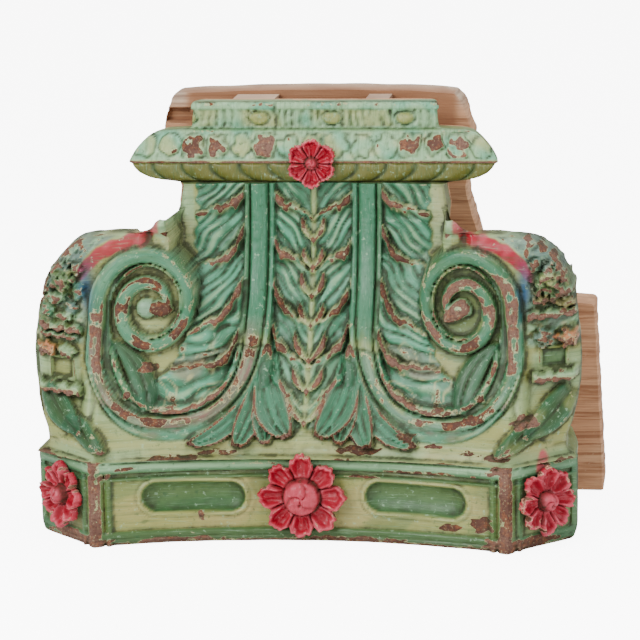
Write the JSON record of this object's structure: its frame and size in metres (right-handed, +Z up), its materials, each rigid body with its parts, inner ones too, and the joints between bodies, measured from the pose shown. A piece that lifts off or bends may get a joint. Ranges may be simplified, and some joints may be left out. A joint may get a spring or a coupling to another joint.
{
  "type": "carved wooden capital block",
  "caption": "Carved and painted timber capital with volutes, acanthus leaves and nailed flowers, standing on its wide plinth with a raw board behind.",
  "frame": {"origin": "centre of the bounding box at the level the block stands on", "axes": "+X along the plinth to the right as seen from the carved front, +Y to the back towards the board, +Z up"},
  "size_m": [0.694, 0.36, 0.501],
  "materials": {
    "painted_wood": "carved hardwood under old layered paint in olive, verdigris and deep green, crackled and worn to bare wood on the raised edges",
    "red_paint": "carved flower under crimson and pink paint, worn at the petal rims",
    "raw_wood": "raw weathered timber with saw marks, knots and checks",
    "grey_wood": "raw timber weathered to grey tan"
  },
  "bodies": {
    "root": {"carved_front": "painted_wood", "back_board": "raw_wood", "web_left": "grey_wood", "web_right": "grey_wood", "flower_centre": "red_paint", "flower_left": "red_paint", "flower_right": "red_paint", "rosette_top": "red_paint"}
  },
  "joints": []
}
